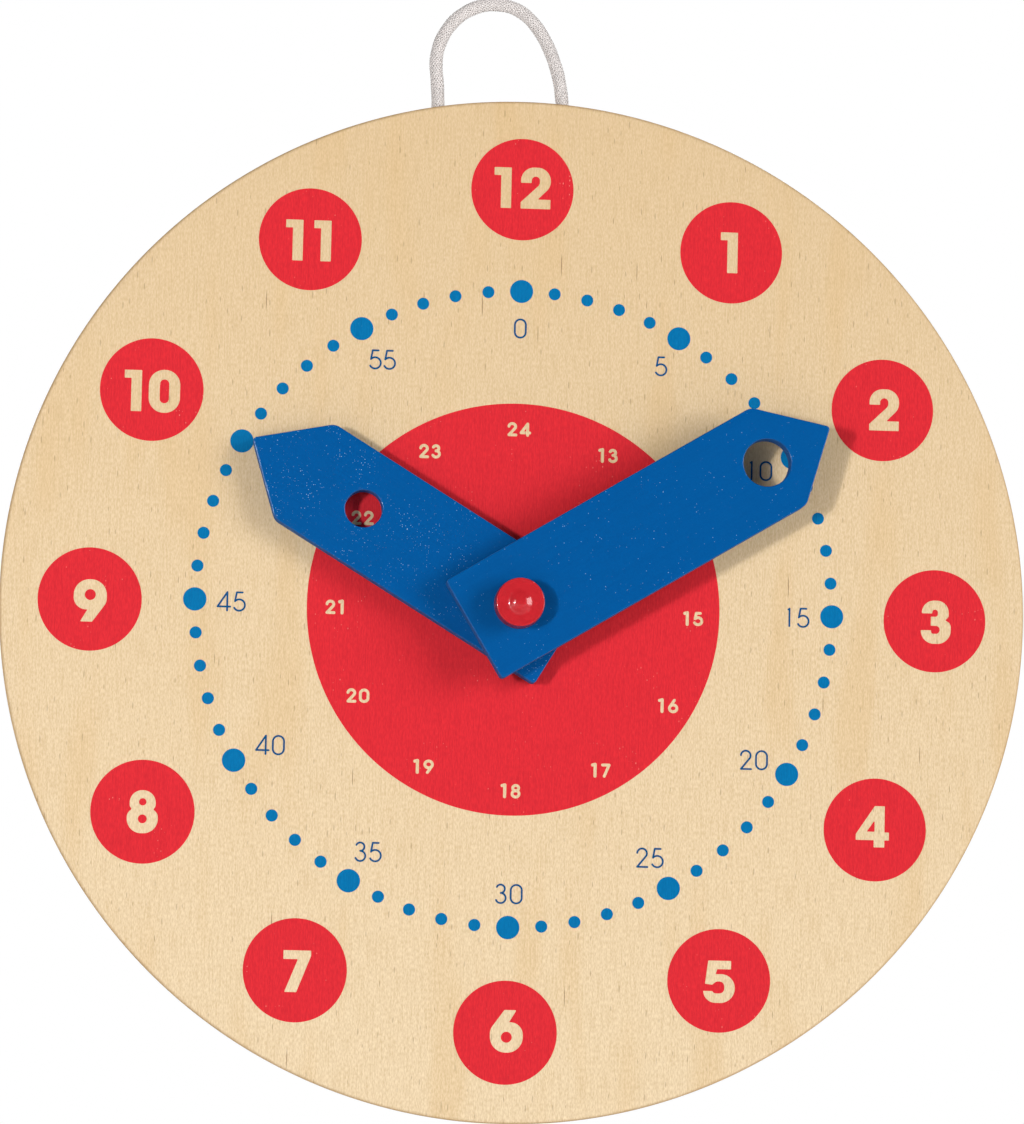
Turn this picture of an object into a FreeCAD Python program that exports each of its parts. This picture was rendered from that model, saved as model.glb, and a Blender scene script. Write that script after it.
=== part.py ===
import FreeCAD, Part
import math
import os

# Wooden teaching clock: a flat plywood dial, an hour hand and a minute hand that are
# stacked on one turned peg and set by finger, and a cord loop to hang it by.
# Millimetres. X is to the right of a person who reads the dial, Z is up at 12 o'clock,
# and the dial faces -Y. The origin is on the pivot axis, in the flat back of the dial.

# Dial
DIAL_DIAMETER = 220.0
DIAL_THICKNESS = 6.0
DIAL_EDGE_ROUND = 0.8

# Both hands
HAND_WIDTH = 24.0
HAND_THICKNESS = 5.0
HAND_EDGE_BEVEL = 0.4
HAND_END_ROUND = 0.8
HAND_SHOULDER_ROUND = 3.0

# Hour hand: its reach each way from the pivot axis, and its window, which is centred
# this far behind the shoulders; the angle is clockwise from 12 o'clock
HOUR_TIP_REACH = 66.8
HOUR_TIP_LENGTH = 13.3
HOUR_TAIL_REACH = 12.0
HOUR_WINDOW_SETBACK = 14.8
HOUR_WINDOW_BORE = 8.0
HOUR_HAND_ANGLE = 301.1

# Minute hand, given in the same way
MINUTE_TIP_REACH = 77.0
MINUTE_TIP_LENGTH = 12.9
MINUTE_TAIL_REACH = 11.0
MINUTE_WINDOW_SETBACK = 2.8
MINUTE_WINDOW_BORE = 10.2
MINUTE_HAND_ANGLE = 58.8

# Turned peg that is glued into the dial
SHANK_DIAMETER = 6.0
SHANK_END_BEVEL = 0.4
SHANK_SHORT_OF_BACK = 0.3
HEAD_DIAMETER = 10.6
HEAD_TAPER = 0.15
HEAD_HEIGHT = 5.3
HEAD_SHOULDER_ROUND = 0.7
HEAD_DOME_RISE = 0.35
NIB_DIAMETER = 0.8
NIB_RISE = 0.15

# Thin washers on the peg, one under each turning face
WASHER_DIAMETER = 10.0
WASHER_THICKNESS = 0.4

# Fits
GLUE_GAP = 0.05
HAND_BORE_CLEARANCE = 0.06
WASHER_BORE_CLEARANCE = 0.03
AXIAL_PLAY = 0.05

# A turned or sanded quarter round is cut as this many narrow bands
ROUND_BANDS = 3

# Cord loop, glued into two blind holes in the rim
CORD_DIAMETER = 3.0
CORD_GLUE_GAP = 0.15
CORD_HOLE_DEPTH = 6.0
CORD_LEFT_X = -18.8
CORD_RIGHT_X = 8.3
CORD_ARC_SHARE = 0.45

# The cord's turning points between its holes: X, and the rise above the dial's top
CORD_ROUTE = (
    (CORD_LEFT_X, 1.5),
    (-20.0, 10.6),
    (-16.0, 18.3),
    (-9.0, 22.0),
    (-1.1, 20.9),
    (4.7, 13.8),
    (CORD_RIGHT_X, 2.6),
)

FORWARD = FreeCAD.Vector(0, -1, 0)
AXIS = FreeCAD.Vector(0, 1, 0)
CENTRE = FreeCAD.Vector(0, 0, 0)
UP = FreeCAD.Vector(0, 0, 1)
TOUCHING = 1e-6

dial_radius = DIAL_DIAMETER / 2
cord_depth_in_dial = DIAL_THICKNESS / 2

# The stack on the peg, as heights in front of the dial's back
dial_washer_at = DIAL_THICKNESS
hour_hand_at = dial_washer_at + WASHER_THICKNESS + AXIAL_PLAY
hand_washer_at = hour_hand_at + HAND_THICKNESS + AXIAL_PLAY
minute_hand_at = hand_washer_at + WASHER_THICKNESS + AXIAL_PLAY
head_washer_at = minute_hand_at + HAND_THICKNESS + AXIAL_PLAY
head_at = head_washer_at + WASHER_THICKNESS


def rod(diameter, start, length, x=0.0, z=0.0):
    """A round bar along the pivot axis, from the height start towards the reader."""
    return Part.makeCylinder(diameter / 2, length, FreeCAD.Vector(x, -start, z), FORWARD)


def rounded_outline(corners):
    """A closed wire through (x, z, radius) corners, with an arc tangent at each corner."""
    count = len(corners)
    arcs = []
    for i, (x, z, radius) in enumerate(corners):
        corner = FreeCAD.Vector(x, 0, z)
        before = FreeCAD.Vector(corners[i - 1][0], 0, corners[i - 1][1]) - corner
        after = FreeCAD.Vector(corners[(i + 1) % count][0], 0, corners[(i + 1) % count][1]) - corner
        before.normalize()
        after.normalize()
        half = before.getAngle(after) / 2
        setback = radius / math.tan(half)
        bisector = (before + after).normalize()
        middle = corner + bisector * (radius / math.sin(half) - radius)
        arcs.append((corner + before * setback, middle, corner + after * setback))
    edges = []
    for i, (start, middle, end) in enumerate(arcs):
        edges.append(Part.Arc(start, middle, end).toShape())
        edges.append(Part.LineSegment(end, arcs[(i + 1) % count][0]).toShape())
    return Part.Wire(edges)


def edges_at(solid, *heights):
    """The edges that lie flat at one of these heights."""
    found = []
    for edge in solid.Edges:
        box = edge.BoundBox
        flat = box.YLength < TOUCHING
        if flat and any(abs(box.YMin + height) < TOUCHING for height in heights):
            found.append(edge)
    return found


def quarter_round(radius, height, size, first, last):
    """Points of a round of this size about (radius, height), between two angles in degrees."""
    steps = [first + (last - first) * i / ROUND_BANDS for i in range(ROUND_BANDS + 1)]
    turns = [math.radians(step) for step in steps]
    return [(radius + size * math.cos(t), height + size * math.sin(t)) for t in turns]


def turned(profile):
    """A solid of revolution about the pivot axis, from (radius, height) points."""
    points = [FreeCAD.Vector(radius, -height, 0) for radius, height in profile]
    return Part.Face(Part.makePolygon(points + points[:1])).revolve(CENTRE, AXIS, 360)


def make_dial():
    """The plywood disc with its rounded rim, the peg's hole and the two cord holes."""
    size = DIAL_EDGE_ROUND
    disc = turned(
        [(0.0, 0.0)]
        + quarter_round(dial_radius - size, size, size, -90, 0)
        + quarter_round(dial_radius - size, DIAL_THICKNESS - size, size, 0, 90)
        + [(0.0, DIAL_THICKNESS)]
    )
    disc = disc.cut(rod(SHANK_DIAMETER + 2 * GLUE_GAP, 0.0, DIAL_THICKNESS))
    for x in (CORD_LEFT_X, CORD_RIGHT_X):
        foot = FreeCAD.Vector(x, -cord_depth_in_dial, cord_hole_floor(x))
        drill = Part.makeCylinder(CORD_DIAMETER / 2 + CORD_GLUE_GAP, dial_radius, foot, UP)
        disc = disc.cut(drill)
    return disc


def make_hand(start, tip_reach, tip_length, tail_reach, window_setback, window_bore, angle):
    """A pointed flat hand with a reading window, its back at the height start."""
    half = HAND_WIDTH / 2
    shoulder = tip_reach - tip_length
    outline = rounded_outline([
        (-half, -tail_reach, HAND_END_ROUND),
        (-half, shoulder, HAND_SHOULDER_ROUND),
        (0.0, tip_reach, HAND_END_ROUND),
        (half, shoulder, HAND_SHOULDER_ROUND),
        (half, -tail_reach, HAND_END_ROUND),
    ])
    outline.translate(FORWARD * start)
    hand = Part.Face(outline).extrude(FORWARD * HAND_THICKNESS)
    hand = hand.cut(rod(window_bore, start, HAND_THICKNESS, z=shoulder - window_setback))
    hand = hand.makeChamfer(HAND_EDGE_BEVEL, edges_at(hand, start, start + HAND_THICKNESS))
    bore = SHANK_DIAMETER + 2 * HAND_BORE_CLEARANCE
    hand = hand.cut(rod(bore, start, HAND_THICKNESS))
    hand.rotate(CENTRE, AXIS, angle)
    return hand


def make_peg():
    """The turned peg: a shank through the stack and a low domed head with its lathe nib."""
    shank = rod(SHANK_DIAMETER, SHANK_SHORT_OF_BACK, head_at - SHANK_SHORT_OF_BACK)
    shank = shank.makeChamfer(SHANK_END_BEVEL, edges_at(shank, SHANK_SHORT_OF_BACK))
    crown_at = head_at + HEAD_HEIGHT
    size = HEAD_SHOULDER_ROUND
    dome_edge = HEAD_DIAMETER / 2 - HEAD_TAPER - size
    dome_edge_at = crown_at - HEAD_DOME_RISE
    dome_size = (dome_edge ** 2 + HEAD_DOME_RISE ** 2) / (2 * HEAD_DOME_RISE)
    dome_from = math.degrees(math.acos(dome_edge / dome_size))
    nib_radius = NIB_DIAMETER / 2
    dome_to = math.degrees(math.acos(nib_radius / dome_size))
    head = turned(
        [(0.0, head_at), (HEAD_DIAMETER / 2, head_at)]
        + quarter_round(dome_edge, dome_edge_at - size, size, 0, 90)
        + quarter_round(0.0, crown_at - dome_size, dome_size, dome_from, dome_to)[1:]
        + [(nib_radius / 2, crown_at + NIB_RISE), (0.0, crown_at + NIB_RISE)]
    )
    return shank.fuse(head).removeSplitter()


def make_washer(start):
    """A thin flat washer that sits tight on the peg's shank."""
    ring = rod(WASHER_DIAMETER, start, WASHER_THICKNESS)
    return ring.cut(rod(SHANK_DIAMETER + 2 * WASHER_BORE_CLEARANCE, start, WASHER_THICKNESS))


def cord_hole_floor(x):
    """The height of the floor of the blind hole that is drilled down at x."""
    return math.sqrt(dial_radius ** 2 - x ** 2) - CORD_HOLE_DEPTH


def cord_points():
    """The cord's whole route, from the floor of one hole to the floor of the other."""
    route = [(CORD_LEFT_X, cord_hole_floor(CORD_LEFT_X))]
    route += [(x, dial_radius + rise) for x, rise in CORD_ROUTE]
    route.append((CORD_RIGHT_X, cord_hole_floor(CORD_RIGHT_X)))
    return [FreeCAD.Vector(x, -cord_depth_in_dial, z) for x, z in route]


def make_cord():
    """The cord as a round tube along straight runs that tangent arcs join."""
    points = cord_points()
    edges = []
    last = points[0]
    for before, corner, after in zip(points, points[1:], points[2:]):
        back = before - corner
        ahead = after - corner
        setback = CORD_ARC_SHARE * min(back.Length, ahead.Length)
        turn = math.pi - back.getAngle(ahead)
        radius = setback / math.tan(turn / 2)
        print(f"cord arc: turn {math.degrees(turn):5.1f} degrees, radius {radius:6.2f} mm")
        start = corner + back.normalize() * setback
        end = corner + ahead.normalize() * setback
        towards = (back + ahead).normalize()
        middle = corner + towards * (radius / math.cos(turn / 2) - radius)
        edges.append(Part.LineSegment(last, start).toShape())
        edges.append(Part.Arc(start, middle, end).toShape())
        last = end
    edges.append(Part.LineSegment(last, points[-1]).toShape())
    path = Part.Wire(edges)
    section = Part.Wire(Part.makeCircle(CORD_DIAMETER / 2, points[0], UP))
    sweep = Part.BRepOffsetAPI.MakePipeShell(path)
    sweep.setBiNormalMode(AXIS)
    sweep.add(section)
    sweep.build()
    sweep.makeSolid()
    cord = sweep.shape()
    ideal = math.pi * CORD_DIAMETER ** 2 / 4 * path.Length
    print(f"cord: length {path.Length:.2f} mm, volume {cord.Volume:.2f} of {ideal:.2f} mm3")
    return cord


def save(node, solid):
    """Write one sub-part, after making sure that it is a single valid solid."""
    if not solid.isValid() or len(solid.Solids) != 1:
        raise ValueError(f"{node} is not one valid solid")
    piece = solid.Solids[0]
    box = piece.BoundBox
    print(f"{node}: {piece.Volume:.1f} mm3, {box.XLength:.2f} x {box.YLength:.2f} x {box.ZLength:.2f}")
    piece.exportStep(f"parts/{node}.step")


def main():
    """Build every piece of the clock where it sits."""
    os.makedirs("parts", exist_ok=True)
    save("dial_disc", make_dial())
    save("hour_hand", make_hand(
        hour_hand_at, HOUR_TIP_REACH, HOUR_TIP_LENGTH, HOUR_TAIL_REACH,
        HOUR_WINDOW_SETBACK, HOUR_WINDOW_BORE, HOUR_HAND_ANGLE,
    ))
    save("minute_hand", make_hand(
        minute_hand_at, MINUTE_TIP_REACH, MINUTE_TIP_LENGTH, MINUTE_TAIL_REACH,
        MINUTE_WINDOW_SETBACK, MINUTE_WINDOW_BORE, MINUTE_HAND_ANGLE,
    ))
    save("pivot_peg", make_peg())
    save("dial_washer", make_washer(dial_washer_at))
    save("hand_washer", make_washer(hand_washer_at))
    save("head_washer", make_washer(head_washer_at))
    save("hanging_cord", make_cord())


main()
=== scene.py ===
"""Dressed scene of a wooden teaching clock.

A plywood dial with its screen print, two lacquered hands that are stacked on a turned
peg, and a cord loop. Outlines are drawn in millimetres as (x, z) on the dial, as a reader
sees them, and heights are measured from the dial's flat back towards the reader (-Y).
"""

import logging
import math
from collections.abc import Sequence
from dataclasses import dataclass, field
from enum import Enum
from typing import Any

import bpy
from mathutils import Matrix, Vector
from mathutils.geometry import delaunay_2d_cdt


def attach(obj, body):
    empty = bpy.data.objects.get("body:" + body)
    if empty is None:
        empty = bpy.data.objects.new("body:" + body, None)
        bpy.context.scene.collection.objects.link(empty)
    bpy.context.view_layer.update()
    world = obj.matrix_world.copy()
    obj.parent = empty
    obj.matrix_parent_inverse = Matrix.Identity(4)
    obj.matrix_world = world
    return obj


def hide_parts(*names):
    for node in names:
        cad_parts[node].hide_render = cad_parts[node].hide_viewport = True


Material = bpy.types.Material
Mesh = bpy.types.Mesh
Node = bpy.types.Node
Object = bpy.types.Object
Socket = bpy.types.NodeSocket
Point = tuple[float, float]
Triple = tuple[float, float, float]
Outline = list[Point]
Face = tuple[int, ...]

LOG = logging.getLogger("teaching_clock")
MM = 0.001
ARC_STEP = 6.0
TRIANGLES_INSIDE = 1
MERGE_WITHIN = 1e-5
BORE_SIDES = 48
BORE_EDGE = 0.1
YARN_TONE = "yarn_tone"

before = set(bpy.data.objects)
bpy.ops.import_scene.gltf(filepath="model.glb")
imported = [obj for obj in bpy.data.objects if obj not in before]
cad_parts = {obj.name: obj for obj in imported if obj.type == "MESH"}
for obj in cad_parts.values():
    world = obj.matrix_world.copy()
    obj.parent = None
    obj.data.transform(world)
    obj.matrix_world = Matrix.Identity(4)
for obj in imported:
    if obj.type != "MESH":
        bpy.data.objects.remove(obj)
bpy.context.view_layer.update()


class Fill(Enum):
    """How outlines that lie over one another are filled."""

    UNION = "filled wherever any outline lies"
    ALTERNATE = "filled, bare and filled again, from the outside in"


class Reach(Enum):
    """How far into a piece its specks go, as the dimensions of their pattern."""

    FACE = "2D"
    THROUGH = "3D"


# --- Outlines


def arc(x: float, z: float, radius: float, start: float, end: float) -> Outline:
    """Draw an arc.

    Args:
        x, z: The centre.
        radius: The radius.
        start, end: Degrees from +X towards +Z.

    Returns:
        Points along the arc, with both ends.
    """
    steps = max(2, math.ceil(abs(end - start) / ARC_STEP))
    turns = [math.radians(start + (end - start) * i / steps) for i in range(steps + 1)]
    return [(x + radius * math.cos(t), z + radius * math.sin(t)) for t in turns]


def circle(x: float, z: float, diameter: float, sides: int) -> Outline:
    """Return a circle of that many sides, counterclockwise."""
    turns = [2 * math.pi * i / sides for i in range(sides)]
    return [(x + diameter / 2 * math.cos(t), z + diameter / 2 * math.sin(t)) for t in turns]


def rounded(corners: Sequence[Triple]) -> Outline:
    """Draw a closed outline with a tangent arc at each corner.

    Args:
        corners: (x, z, radius) of each corner. Where two arcs want more than the side
            between them has, both shrink until they meet.

    Returns:
        The outline's points, in the corners' order.
    """
    places = [Vector(corner[:2]) for corner in corners]
    count = len(places)
    sides = [(places[(i + 1) % count] - place).length for i, place in enumerate(places)]
    halves, wanted = [], []
    for i, (_, _, radius) in enumerate(corners):
        back = places[i - 1] - places[i]
        ahead = places[(i + 1) % count] - places[i]
        halves.append(back.angle(ahead) / 2)
        wanted.append(radius / math.tan(halves[i]))
    outline: Outline = []
    for i, place in enumerate(places):
        after = (i + 1) % count
        room = sides[i - 1] / (wanted[i - 1] + wanted[i]), sides[i] / (wanted[i] + wanted[after])
        setback = wanted[i] * min(1.0, *room)
        radius = setback * math.tan(halves[i])
        back = (places[i - 1] - place).normalized()
        ahead = (places[after] - place).normalized()
        centre = place + (back + ahead).normalized() * (radius / math.sin(halves[i]))
        spoke = place + back * setback - centre
        sweep = math.pi - 2 * halves[i]
        if back.x * ahead.y - back.y * ahead.x > 0:
            sweep = -sweep
        steps = max(1, math.ceil(abs(math.degrees(sweep)) / ARC_STEP))
        for step in range(steps + 1):
            outline.append(tuple(centre + Matrix.Rotation(sweep * step / steps, 2) @ spoke))
    return outline


def stroked(path: Outline, pen: float) -> Outline:
    """Outline a smooth pen stroke.

    Args:
        path: The points that the pen follows.
        pen: The stroke's width.

    Returns:
        A closed outline with half-round ends.
    """
    places = [Vector(point) for point in path]
    left, right = [], []
    for i, place in enumerate(places):
        along = (places[min(i + 1, len(places) - 1)] - places[max(i - 1, 0)]).normalized()
        across = Vector((-along.y, along.x)) * pen / 2
        left.append(tuple(place + across))
        right.append(tuple(place - across))
    start = math.degrees(math.atan2(*(Vector(left[0]) - places[0]).yx))
    end = math.degrees(math.atan2(*(Vector(right[-1]) - places[-1]).yx))
    first_cap = arc(*path[0], pen / 2, start, start + 180)[1:-1]
    last_cap = arc(*path[-1], pen / 2, end, end + 180)[1:-1]
    return right + last_cap + left[::-1] + first_cap


def turned_outline(outline: Outline, degrees: float) -> Outline:
    """Turn an outline clockwise about the pivot axis, as the reader sees it."""
    c, s = math.cos(math.radians(degrees)), math.sin(math.radians(degrees))
    return [(x * c + z * s, z * c - x * s) for x, z in outline]


def winding(outline: Outline) -> float:
    """Return twice the outline's area, positive where it runs counterclockwise."""
    return sum(a[0] * b[1] - b[0] * a[1] for a, b in zip(outline, outline[1:] + outline[:1]))


def clock_place(radius: float, degrees: float, centre: Point = (0.0, 0.0)) -> Point:
    """Return the point at a radius and a clock angle from 12 o'clock."""
    turn = math.radians(degrees)
    return centre[0] + radius * math.sin(turn), centre[1] + radius * math.cos(turn)


def inset(outline: Outline, by: float) -> Outline:
    """Move an outline into the material.

    Args:
        outline: The outline, with the material to its left.
        by: How far it moves.

    Returns:
        The moved outline, point for point.
    """
    moved = []
    places = [Vector(point) for point in outline]
    for i, place in enumerate(places):
        before = (place - places[i - 1]).normalized()
        after = (places[(i + 1) % len(places)] - place).normalized()
        normals = Vector((-before.y, before.x)), Vector((-after.y, after.x))
        middle = (normals[0] + normals[1]).normalized()
        moved.append(tuple(place + middle * (by / middle.dot(normals[0]))))
    return moved


def triangles(
    outlines: Sequence[Outline], fill: Fill
) -> tuple[list[Point], list[Face], list[list[int]]]:
    """Fill flat outlines with triangles.

    Args:
        outlines: Closed outlines, which may lie over one another.
        fill: Which of the places that they enclose are filled.

    Returns:
        The points, the triangles, counterclockwise, and for each point the numbers of the
        outlines' own points that it stands for, counted through all outlines in turn.
    """
    points: list[Vector] = []
    rings: list[list[int]] = []
    for outline in outlines:
        ring = list(range(len(points), len(points) + len(outline)))
        rings.append(ring if winding(outline) > 0 else ring[::-1])
        points += [Vector(point) for point in outline]
    found, _, faces, sources, _, owners = delaunay_2d_cdt(
        points, [], rings, TRIANGLES_INSIDE, MERGE_WITHIN
    )
    kept = []
    for face, owner in zip(faces, owners):
        layers = len(set(owner))
        if layers % 2 == 1 or (fill is Fill.UNION and layers > 0):
            kept.append(tuple(face))
    return [tuple(point) for point in found], kept, sources


def united(strokes: Sequence[Outline]) -> list[Outline]:
    """Merge overlapping strokes into the outlines of their union.

    Args:
        strokes: Closed outlines that may cross.

    Returns:
        The union's outer outlines and the outlines of its counters.
    """
    points, faces, _ = triangles(strokes, Fill.UNION)
    after: dict[int, int] = {}
    edges = {(i, j) for face in faces for i, j in zip(face, face[1:] + face[:1])}
    for i, j in edges:
        if (j, i) not in edges:
            after[i] = j
    outlines = []
    while after:
        here = next(iter(after.values()))
        outline = []
        while here in after:
            outline.append(points[here])
            here = after.pop(here)
        outlines.append(outline)
    return outlines


# --- Meshes


@dataclass
class Shell:
    """A closed surface in the making: vertices in millimetres and faces that look outwards."""

    vertices: list[Triple] = field(default_factory=list)
    faces: list[Face] = field(default_factory=list)

    def ring(self, outline: Outline, height: float) -> list[int]:
        """Add an outline's points.

        Args:
            outline: The outline.
            height: How high it lies in front of the dial's back.

        Returns:
            The new vertices' numbers.
        """
        first = len(self.vertices)
        self.vertices += [(x, -height, z) for x, z in outline]
        return list(range(first, len(self.vertices)))

    def wall(self, low: Sequence[int], high: Sequence[int]) -> None:
        """Join two rings.

        Args:
            low, high: The rings' vertices, as many in each. The material lies to their left.
        """
        for i in range(len(low)):
            j = (i + 1) % len(low)
            self.faces.append((high[i], low[i], low[j], high[j]))

    def mesh(self, name: str, smooth_below: float = 35.0) -> Mesh:
        """Make the mesh.

        Args:
            name: The mesh's name.
            smooth_below: Edges that turn by fewer degrees are shaded smooth.

        Returns:
            The mesh, in metres, in the frame's axes.
        """
        mesh = bpy.data.meshes.new(name)
        mesh.from_pydata([[c * MM for c in vertex] for vertex in self.vertices], [], self.faces)
        mesh.polygons.foreach_set("use_smooth", [True] * len(mesh.polygons))
        mesh.set_sharp_from_angle(angle=math.radians(smooth_below))
        return mesh


def flat_shell(outlines: Sequence[Outline], fill: Fill, back: float, front: float) -> Shell:
    """Make a thin flat layer with square walls.

    Args:
        outlines: The layer's outlines.
        fill: How they are filled.
        back, front: The heights of its two faces.

    Returns:
        The closed shell.
    """
    points, faces, _ = triangles(outlines, fill)
    shell = Shell()
    low = shell.ring(points, back)
    high = shell.ring(points, front)
    once: dict[tuple[int, int], bool] = {}
    for face in faces:
        shell.faces.append(tuple(high[i] for i in face))
        shell.faces.append(tuple(low[i] for i in reversed(face)))
        for i, j in zip(face, face[1:] + face[:1]):
            if once.pop((j, i), None) is None:
                once[(i, j)] = True
    for i, j in once:
        shell.faces.append((high[i], low[i], low[j], high[j]))
    return shell


def rounded_slab(rims: Sequence[tuple[Outline, float]], back: float, front: float) -> Shell:
    """Make a flat board whose edges are rounded over, front and back.

    Args:
        rims: The outer outline and then each hole, with the radius that its edges are
            rounded to.
        back, front: The heights of the two faces.

    Returns:
        The closed shell.
    """
    bands, margin = 5, 0.12
    turns = [math.pi / 2 * i / bands for i in range(bands + 1)]
    shell = Shell()
    ends: tuple[list[int], list[int]] = ([], [])
    insets: list[Outline] = []
    for number, (outline, size) in enumerate(rims):
        if (winding(outline) > 0) != (number == 0):
            outline = outline[::-1]
        lower = [(size * (1 - math.sin(t)), back + size * (1 - math.cos(t))) for t in turns]
        stations = [(size + margin, back), *lower]
        stations += [(depth, back + front - height) for depth, height in reversed(stations)]
        rings = [shell.ring(inset(outline, depth), height) for depth, height in stations]
        for low, high in zip(rings, rings[1:]):
            shell.wall(low, high)
        ends[0].extend(rings[0])
        ends[1].extend(rings[-1])
        insets.append(inset(outline, size + margin))
    _, faces, sources = triangles(insets, Fill.ALTERNATE)
    for at_front, own in enumerate(ends):
        for face in faces:
            corners = tuple(own[sources[i][0]] for i in face)
            shell.faces.append(corners if at_front else corners[::-1])
    return shell


def revolved(profile: Sequence[Point], sides: int) -> Shell:
    """Turn a profile about the pivot axis.

    Args:
        profile: (radius, height) points from the axis at the back, round the outside, to
            the axis at the front.
        sides: How many sides the round has.

    Returns:
        The closed shell.
    """
    shell = Shell()
    rings = []
    for radius, height in profile:
        if radius == 0:
            rings.append(shell.ring([(0.0, 0.0)], height) * sides)
        else:
            rings.append(shell.ring(circle(0, 0, 2 * radius, sides), height))
    for low, high in zip(rings, rings[1:]):
        for i in range(sides):
            j = (i + 1) % sides
            shell.faces.append(tuple(dict.fromkeys((low[i], low[j], high[j], high[i]))))
    return shell


def shown(name: str, data: bpy.types.ID) -> Object:
    """Put something into the scene at the origin.

    Args:
        name: The object's name.
        data: Its mesh, curve, lamp or camera.

    Returns:
        The object.
    """
    obj = bpy.data.objects.new(name, data)
    bpy.context.scene.collection.objects.link(obj)
    return obj


def plain(obj: Object) -> Mesh:
    """Turn an object into a plain mesh, with its modifiers carried out.

    Args:
        obj: The object, which is taken out of the scene.

    Returns:
        The mesh.
    """
    bpy.context.view_layer.update()
    evaluated = obj.evaluated_get(bpy.context.evaluated_depsgraph_get())
    mesh = bpy.data.meshes.new_from_object(evaluated)
    bpy.data.objects.remove(obj)
    return mesh


def finished(
    name: str, mesh: Mesh, material: Material, body: str, replaces: Sequence[str] = ()
) -> Object:
    """Hand a finished piece to the frame.

    Args:
        name: The piece's name.
        mesh: Its shape, in place.
        material: Its finish.
        body: The CAD body that it moves with.
        replaces: The CAD nodes that it stands for.

    Returns:
        The piece.
    """
    mesh.name = name
    mesh.materials.clear()
    mesh.materials.append(material)
    obj = shown(name, mesh)
    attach(obj, body)
    if replaces:
        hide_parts(*replaces)
    LOG.info("%s: %d faces, rides on %s", name, len(mesh.polygons), body)
    return obj


# --- Node trees

MATH, VECTOR_MATH, RANGE = "ShaderNodeMath", "ShaderNodeVectorMath", "ShaderNodeMapRange"


class Graph:
    """A node tree in the making."""

    def __init__(self, tree: bpy.types.NodeTree) -> None:
        """Start with the tree empty."""
        self.tree = tree
        tree.nodes.clear()

    def add(self, kind: str, sockets: dict[str | int, Any] | None = None, **settings: Any) -> Node:
        """Add a node.

        Args:
            kind: The node's type.
            sockets: For each input, by name or number, a constant, the output that feeds it,
                a node whose first output does, or a list of these.
            settings: The node's own properties.

        Returns:
            The node.
        """
        node = self.tree.nodes.new(kind)
        for name, value in settings.items():
            setattr(node, name, value)
        for socket, given in (sockets or {}).items():
            for value in given if isinstance(given, list) else [given]:
                if isinstance(value, Node):
                    value = value.outputs[0]
                if isinstance(value, Socket):
                    self.tree.links.new(value, node.inputs[socket])
                else:
                    node.inputs[socket].default_value = value
        return node


class Growth(Graph):
    """A Geometry Nodes tree in the making, with its sizes as named inputs."""

    sockets = {int: "Int", float: "Float", Vector: "Vector", Material: "Material"}

    def __init__(self, name: str, sizes: dict[str, Any], finish: Material) -> None:
        """Start a tree with a geometry in and a geometry out.

        Args:
            name: The name of the tree and of what it grows.
            sizes: Its inputs, by name.
            finish: The material of what it grows.
        """
        super().__init__(bpy.data.node_groups.new(name, "GeometryNodeTree"))
        self.sizes = sizes | {"Finish": finish}
        ends = self.tree.interface
        ends.new_socket("Geometry", in_out="INPUT", socket_type="NodeSocketGeometry")
        for label, value in self.sizes.items():
            kind = next(kind for known, kind in self.sockets.items() if isinstance(value, known))
            ends.new_socket(label, in_out="INPUT", socket_type=f"NodeSocket{kind}")
        ends.new_socket("Geometry", in_out="OUTPUT", socket_type="NodeSocketGeometry")
        self.given = self.add("NodeGroupInput").outputs

    def grow(self, geometry: Node, start: Mesh) -> Mesh:
        """End the tree and carry it out.

        Args:
            geometry: The node that gives what was grown.
            start: The mesh that it grows on.

        Returns:
            The plain mesh.
        """
        whole = self.add("GeometryNodeRealizeInstances", {0: geometry})
        dressed = self.add(
            "GeometryNodeSetMaterial", {"Geometry": whole, "Material": self.given["Finish"]}
        )
        self.add("NodeGroupOutput", {0: dressed})
        obj = shown(self.tree.name, start)
        modifier = obj.modifiers.new(self.tree.name, "NODES")
        modifier.node_group = self.tree
        for socket in self.tree.interface.items_tree:
            if socket.in_out == "INPUT" and socket.name in self.sizes:
                modifier[socket.identifier] = self.sizes[socket.name]
        return plain(obj)


def linear(code: str) -> tuple[float, float, float, float]:
    """Turn an sRGB hex code into a linear colour."""
    parts = [int(code[i:i + 2], 16) / 255 for i in (1, 3, 5)]
    return (*(p / 12.92 if p <= 0.04045 else ((p + 0.055) / 1.055) ** 2.4 for p in parts), 1.0)


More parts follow.
